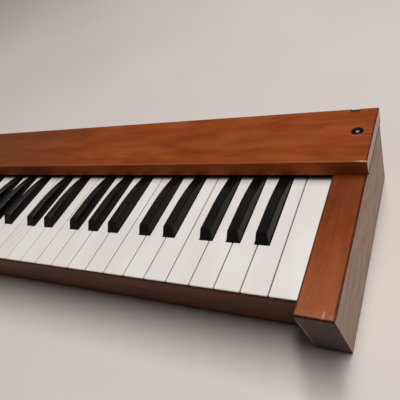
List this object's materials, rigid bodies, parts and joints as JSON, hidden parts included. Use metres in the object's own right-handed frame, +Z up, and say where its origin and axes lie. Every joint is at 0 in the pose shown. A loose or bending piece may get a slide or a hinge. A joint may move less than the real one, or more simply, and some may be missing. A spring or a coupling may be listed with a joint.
{
  "type": "synthesizer keyboard",
  "caption": "Small keyboard synthesizer in a wooden case: sprung keys on a steel frame, raked cheeks, low front rail and a deep top board over the key tails.",
  "frame": {"origin": "on the floor under the middle of the case's width and depth", "axes": "+X along the keys towards the highest key, +Y to the rear, +Z up"},
  "size_m": [0.5802, 0.2307, 0.092],
  "materials": {
    "orange_brown_wood": "satin lacquer",
    "dark_stained_wood": "dark stain, satin",
    "plain_board": "unfinished board",
    "black_rubber": "moulded rubber",
    "plated_steel": "zinc plated",
    "bright_rod": "drawn, bright",
    "spring_steel": "polished strip",
    "green_felt": "pressed wool felt",
    "circuit_board": "bare laminate",
    "grey_rubber": "moulded silicone",
    "dark_screw": "blackened",
    "black_washer": "blackened",
    "white_key_plastic": "moulded, semi-gloss",
    "black_key_plastic": "moulded, satin"
  },
  "bodies": {
    "case": {"board_screws": "dark_screw", "bottom_board": "plain_board", "cable_gland": "black_rubber", "cheek_left": "orange_brown_wood", "cheek_right": "orange_brown_wood", "contact_board": "circuit_board", "contact_mat": "grey_rubber", "cup_washers": "black_washer", "front_rail": "dark_stained_wood", "key_frame": "plated_steel", "key_springs": "spring_steel", "pivot_rod": "bright_rod", "rear_panel": "dark_stained_wood", "rubber_feet": "black_rubber", "stop_felts": "green_felt", "top_board": "orange_brown_wood"},
    "key_01_c": {"key_01_c": "white_key_plastic"},
    "key_02_c_sharp": {"key_02_c_sharp": "black_key_plastic"},
    "key_03_d": {"key_03_d": "white_key_plastic"},
    "key_04_d_sharp": {"key_04_d_sharp": "black_key_plastic"},
    "key_05_e": {"key_05_e": "white_key_plastic"},
    "key_06_f": {"key_06_f": "white_key_plastic"},
    "key_07_f_sharp": {"key_07_f_sharp": "black_key_plastic"},
    "key_08_g": {"key_08_g": "white_key_plastic"},
    "key_09_g_sharp": {"key_09_g_sharp": "black_key_plastic"},
    "key_10_a": {"key_10_a": "white_key_plastic"},
    "key_11_a_sharp": {"key_11_a_sharp": "black_key_plastic"},
    "key_12_b": {"key_12_b": "white_key_plastic"},
    "key_13_c": {"key_13_c": "white_key_plastic"},
    "key_14_c_sharp": {"key_14_c_sharp": "black_key_plastic"},
    "key_15_d": {"key_15_d": "white_key_plastic"},
    "key_16_d_sharp": {"key_16_d_sharp": "black_key_plastic"},
    "key_17_e": {"key_17_e": "white_key_plastic"},
    "key_18_f": {"key_18_f": "white_key_plastic"},
    "key_19_f_sharp": {"key_19_f_sharp": "black_key_plastic"},
    "key_20_g": {"key_20_g": "white_key_plastic"},
    "key_21_g_sharp": {"key_21_g_sharp": "black_key_plastic"},
    "key_22_a": {"key_22_a": "white_key_plastic"},
    "key_23_a_sharp": {"key_23_a_sharp": "black_key_plastic"},
    "key_24_b": {"key_24_b": "white_key_plastic"},
    "key_25_c": {"key_25_c": "white_key_plastic"},
    "key_26_c_sharp": {"key_26_c_sharp": "black_key_plastic"},
    "key_27_d": {"key_27_d": "white_key_plastic"},
    "key_28_d_sharp": {"key_28_d_sharp": "black_key_plastic"},
    "key_29_e": {"key_29_e": "white_key_plastic"},
    "key_30_f": {"key_30_f": "white_key_plastic"},
    "key_31_f_sharp": {"key_31_f_sharp": "black_key_plastic"},
    "key_32_g": {"key_32_g": "white_key_plastic"},
    "key_33_g_sharp": {"key_33_g_sharp": "black_key_plastic"},
    "key_34_a": {"key_34_a": "white_key_plastic"},
    "key_35_a_sharp": {"key_35_a_sharp": "black_key_plastic"},
    "key_36_b": {"key_36_b": "white_key_plastic"},
    "key_37_c": {"key_37_c": "white_key_plastic"}
  },
  "joints": [
    {"name": "press_01_c", "type": "hinge", "parent": "case", "child": "key_01_c", "pos_m": [0, 0.08035, 0.061], "axis": [1, 0, 0], "range_deg": [0, 3.02], "stiffness_Nm_per_rad": 0.8, "springref_deg": -8.59},
    {"name": "press_02_c_sharp", "type": "hinge", "parent": "case", "child": "key_02_c_sharp", "pos_m": [0, 0.08035, 0.061], "axis": [1, 0, 0], "range_deg": [0, 3.02], "stiffness_Nm_per_rad": 0.8, "springref_deg": -8.59},
    {"name": "press_03_d", "type": "hinge", "parent": "case", "child": "key_03_d", "pos_m": [0, 0.08035, 0.061], "axis": [1, 0, 0], "range_deg": [0, 3.02], "stiffness_Nm_per_rad": 0.8, "springref_deg": -8.59},
    {"name": "press_04_d_sharp", "type": "hinge", "parent": "case", "child": "key_04_d_sharp", "pos_m": [0, 0.08035, 0.061], "axis": [1, 0, 0], "range_deg": [0, 3.02], "stiffness_Nm_per_rad": 0.8, "springref_deg": -8.59},
    {"name": "press_05_e", "type": "hinge", "parent": "case", "child": "key_05_e", "pos_m": [0, 0.08035, 0.061], "axis": [1, 0, 0], "range_deg": [0, 3.02], "stiffness_Nm_per_rad": 0.8, "springref_deg": -8.59},
    {"name": "press_06_f", "type": "hinge", "parent": "case", "child": "key_06_f", "pos_m": [0, 0.08035, 0.061], "axis": [1, 0, 0], "range_deg": [0, 3.02], "stiffness_Nm_per_rad": 0.8, "springref_deg": -8.59},
    {"name": "press_07_f_sharp", "type": "hinge", "parent": "case", "child": "key_07_f_sharp", "pos_m": [0, 0.08035, 0.061], "axis": [1, 0, 0], "range_deg": [0, 3.02], "stiffness_Nm_per_rad": 0.8, "springref_deg": -8.59},
    {"name": "press_08_g", "type": "hinge", "parent": "case", "child": "key_08_g", "pos_m": [0, 0.08035, 0.061], "axis": [1, 0, 0], "range_deg": [0, 3.02], "stiffness_Nm_per_rad": 0.8, "springref_deg": -8.59},
    {"name": "press_09_g_sharp", "type": "hinge", "parent": "case", "child": "key_09_g_sharp", "pos_m": [0, 0.08035, 0.061], "axis": [1, 0, 0], "range_deg": [0, 3.02], "stiffness_Nm_per_rad": 0.8, "springref_deg": -8.59},
    {"name": "press_10_a", "type": "hinge", "parent": "case", "child": "key_10_a", "pos_m": [0, 0.08035, 0.061], "axis": [1, 0, 0], "range_deg": [0, 3.02], "stiffness_Nm_per_rad": 0.8, "springref_deg": -8.59},
    {"name": "press_11_a_sharp", "type": "hinge", "parent": "case", "child": "key_11_a_sharp", "pos_m": [0, 0.08035, 0.061], "axis": [1, 0, 0], "range_deg": [0, 3.02], "stiffness_Nm_per_rad": 0.8, "springref_deg": -8.59},
    {"name": "press_12_b", "type": "hinge", "parent": "case", "child": "key_12_b", "pos_m": [0, 0.08035, 0.061], "axis": [1, 0, 0], "range_deg": [0, 3.02], "stiffness_Nm_per_rad": 0.8, "springref_deg": -8.59},
    {"name": "press_13_c", "type": "hinge", "parent": "case", "child": "key_13_c", "pos_m": [0, 0.08035, 0.061], "axis": [1, 0, 0], "range_deg": [0, 3.02], "stiffness_Nm_per_rad": 0.8, "springref_deg": -8.59},
    {"name": "press_14_c_sharp", "type": "hinge", "parent": "case", "child": "key_14_c_sharp", "pos_m": [0, 0.08035, 0.061], "axis": [1, 0, 0], "range_deg": [0, 3.02], "stiffness_Nm_per_rad": 0.8, "springref_deg": -8.59},
    {"name": "press_15_d", "type": "hinge", "parent": "case", "child": "key_15_d", "pos_m": [0, 0.08035, 0.061], "axis": [1, 0, 0], "range_deg": [0, 3.02], "stiffness_Nm_per_rad": 0.8, "springref_deg": -8.59},
    {"name": "press_16_d_sharp", "type": "hinge", "parent": "case", "child": "key_16_d_sharp", "pos_m": [0, 0.08035, 0.061], "axis": [1, 0, 0], "range_deg": [0, 3.02], "stiffness_Nm_per_rad": 0.8, "springref_deg": -8.59},
    {"name": "press_17_e", "type": "hinge", "parent": "case", "child": "key_17_e", "pos_m": [0, 0.08035, 0.061], "axis": [1, 0, 0], "range_deg": [0, 3.02], "stiffness_Nm_per_rad": 0.8, "springref_deg": -8.59},
    {"name": "press_18_f", "type": "hinge", "parent": "case", "child": "key_18_f", "pos_m": [0, 0.08035, 0.061], "axis": [1, 0, 0], "range_deg": [0, 3.02], "stiffness_Nm_per_rad": 0.8, "springref_deg": -8.59},
    {"name": "press_19_f_sharp", "type": "hinge", "parent": "case", "child": "key_19_f_sharp", "pos_m": [0, 0.08035, 0.061], "axis": [1, 0, 0], "range_deg": [0, 3.02], "stiffness_Nm_per_rad": 0.8, "springref_deg": -8.59},
    {"name": "press_20_g", "type": "hinge", "parent": "case", "child": "key_20_g", "pos_m": [0, 0.08035, 0.061], "axis": [1, 0, 0], "range_deg": [0, 3.02], "stiffness_Nm_per_rad": 0.8, "springref_deg": -8.59},
    {"name": "press_21_g_sharp", "type": "hinge", "parent": "case", "child": "key_21_g_sharp", "pos_m": [0, 0.08035, 0.061], "axis": [1, 0, 0], "range_deg": [0, 3.02], "stiffness_Nm_per_rad": 0.8, "springref_deg": -8.59},
    {"name": "press_22_a", "type": "hinge", "parent": "case", "child": "key_22_a", "pos_m": [0, 0.08035, 0.061], "axis": [1, 0, 0], "range_deg": [0, 3.02], "stiffness_Nm_per_rad": 0.8, "springref_deg": -8.59},
    {"name": "press_23_a_sharp", "type": "hinge", "parent": "case", "child": "key_23_a_sharp", "pos_m": [0, 0.08035, 0.061], "axis": [1, 0, 0], "range_deg": [0, 3.02], "stiffness_Nm_per_rad": 0.8, "springref_deg": -8.59},
    {"name": "press_24_b", "type": "hinge", "parent": "case", "child": "key_24_b", "pos_m": [0, 0.08035, 0.061], "axis": [1, 0, 0], "range_deg": [0, 3.02], "stiffness_Nm_per_rad": 0.8, "springref_deg": -8.59},
    {"name": "press_25_c", "type": "hinge", "parent": "case", "child": "key_25_c", "pos_m": [0, 0.08035, 0.061], "axis": [1, 0, 0], "range_deg": [0, 3.02], "stiffness_Nm_per_rad": 0.8, "springref_deg": -8.59},
    {"name": "press_26_c_sharp", "type": "hinge", "parent": "case", "child": "key_26_c_sharp", "pos_m": [0, 0.08035, 0.061], "axis": [1, 0, 0], "range_deg": [0, 3.02], "stiffness_Nm_per_rad": 0.8, "springref_deg": -8.59},
    {"name": "press_27_d", "type": "hinge", "parent": "case", "child": "key_27_d", "pos_m": [0, 0.08035, 0.061], "axis": [1, 0, 0], "range_deg": [0, 3.02], "stiffness_Nm_per_rad": 0.8, "springref_deg": -8.59},
    {"name": "press_28_d_sharp", "type": "hinge", "parent": "case", "child": "key_28_d_sharp", "pos_m": [0, 0.08035, 0.061], "axis": [1, 0, 0], "range_deg": [0, 3.02], "stiffness_Nm_per_rad": 0.8, "springref_deg": -8.59},
    {"name": "press_29_e", "type": "hinge", "parent": "case", "child": "key_29_e", "pos_m": [0, 0.08035, 0.061], "axis": [1, 0, 0], "range_deg": [0, 3.02], "stiffness_Nm_per_rad": 0.8, "springref_deg": -8.59},
    {"name": "press_30_f", "type": "hinge", "parent": "case", "child": "key_30_f", "pos_m": [0, 0.08035, 0.061], "axis": [1, 0, 0], "range_deg": [0, 3.02], "stiffness_Nm_per_rad": 0.8, "springref_deg": -8.59},
    {"name": "press_31_f_sharp", "type": "hinge", "parent": "case", "child": "key_31_f_sharp", "pos_m": [0, 0.08035, 0.061], "axis": [1, 0, 0], "range_deg": [0, 3.02], "stiffness_Nm_per_rad": 0.8, "springref_deg": -8.59},
    {"name": "press_32_g", "type": "hinge", "parent": "case", "child": "key_32_g", "pos_m": [0, 0.08035, 0.061], "axis": [1, 0, 0], "range_deg": [0, 3.02], "stiffness_Nm_per_rad": 0.8, "springref_deg": -8.59},
    {"name": "press_33_g_sharp", "type": "hinge", "parent": "case", "child": "key_33_g_sharp", "pos_m": [0, 0.08035, 0.061], "axis": [1, 0, 0], "range_deg": [0, 3.02], "stiffness_Nm_per_rad": 0.8, "springref_deg": -8.59},
    {"name": "press_34_a", "type": "hinge", "parent": "case", "child": "key_34_a", "pos_m": [0, 0.08035, 0.061], "axis": [1, 0, 0], "range_deg": [0, 3.02], "stiffness_Nm_per_rad": 0.8, "springref_deg": -8.59},
    {"name": "press_35_a_sharp", "type": "hinge", "parent": "case", "child": "key_35_a_sharp", "pos_m": [0, 0.08035, 0.061], "axis": [1, 0, 0], "range_deg": [0, 3.02], "stiffness_Nm_per_rad": 0.8, "springref_deg": -8.59},
    {"name": "press_36_b", "type": "hinge", "parent": "case", "child": "key_36_b", "pos_m": [0, 0.08035, 0.061], "axis": [1, 0, 0], "range_deg": [0, 3.02], "stiffness_Nm_per_rad": 0.8, "springref_deg": -8.59},
    {"name": "press_37_c", "type": "hinge", "parent": "case", "child": "key_37_c", "pos_m": [0, 0.08035, 0.061], "axis": [1, 0, 0], "range_deg": [0, 3.02], "stiffness_Nm_per_rad": 0.8, "springref_deg": -8.59}
  ]
}
